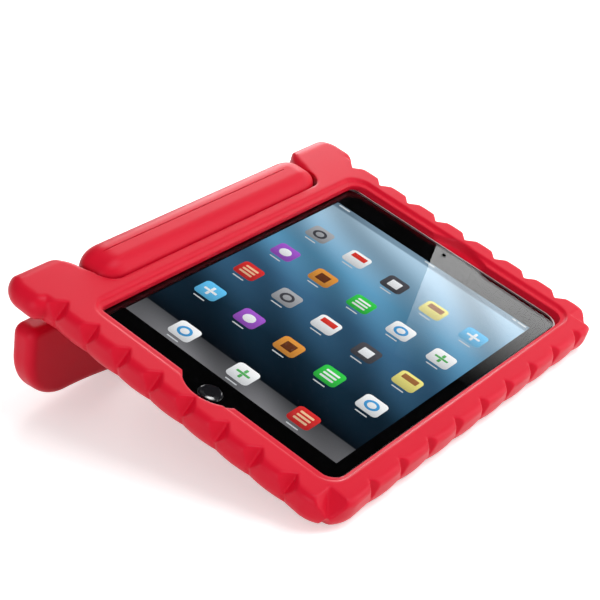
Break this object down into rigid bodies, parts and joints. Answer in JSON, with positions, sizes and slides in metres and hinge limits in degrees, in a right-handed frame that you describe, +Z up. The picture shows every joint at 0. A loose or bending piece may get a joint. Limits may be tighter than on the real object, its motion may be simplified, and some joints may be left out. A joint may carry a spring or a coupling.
{
  "type": "kids tablet case with handle",
  "caption": "Soft foam case with a notched rim round a small tablet, and a wide handle that swivels behind it as a stand.",
  "frame": {"origin": "centre of the part's outline on the surface that it stands on, propped on its handle", "axes": "+X along the long side of the case, away from the home button; +Y to the back, where the handle is; +Z up"},
  "size_m": [0.2356, 0.1806, 0.0716],
  "materials": {
    "foam": "satin",
    "dark_plastic": "matte",
    "steel": "satin",
    "shell_metal": "satin",
    "cover_glass": "gloss",
    "black_plastic": "gloss",
    "display": "gloss",
    "lens": "gloss",
    "board": "satin"
  },
  "bodies": {
    "root": {"case_body": "foam", "hinge_bushing_left": "dark_plastic", "hinge_bushing_right": "dark_plastic", "tablet_back_shell": "shell_metal", "front_glass": "cover_glass", "home_button_switch": "steel", "display_panel": "display", "front_camera": "lens", "rear_camera": "lens", "battery": "dark_plastic", "logic_board": "board", "speaker_left": "dark_plastic", "speaker_right": "dark_plastic", "charging_connector": "steel", "headphone_jack": "steel"},
    "swivel_handle": {"handle": "foam", "hinge_rod": "steel"},
    "home_key": {"home_button": "black_plastic"},
    "volume_up_key": {"volume_up_button": "shell_metal"},
    "volume_down_key": {"volume_down_button": "shell_metal"},
    "mute_slider": {"mute_switch": "shell_metal"},
    "sleep_key": {"sleep_button": "shell_metal"}
  },
  "joints": [
    {"name": "handle_swivel", "type": "hinge", "parent": "root", "child": "swivel_handle", "pos_m": [0, 0.07248, 0.05976], "axis": [1, 0, 0], "range_deg": [-25, 99]},
    {"name": "home_press", "type": "slide", "parent": "root", "child": "home_key", "axis": [0, 0.3201, -0.9474], "range_m": [0, 0.0004], "stiffness_N_per_m": 2500},
    {"name": "volume_up_press", "type": "slide", "parent": "root", "child": "volume_up_key", "axis": [0, 0.9474, 0.3201], "range_m": [0, 0.0004], "stiffness_N_per_m": 2500},
    {"name": "volume_down_press", "type": "slide", "parent": "root", "child": "volume_down_key", "axis": [0, 0.9474, 0.3201], "range_m": [0, 0.0004], "stiffness_N_per_m": 2500},
    {"name": "mute_slide", "type": "slide", "parent": "root", "child": "mute_slider", "axis": [1, 0, 0], "range_m": [-0.001, 0.001]},
    {"name": "sleep_press", "type": "slide", "parent": "root", "child": "sleep_key", "axis": [-1, 0, 0], "range_m": [0, 0.0004], "stiffness_N_per_m": 2500}
  ]
}
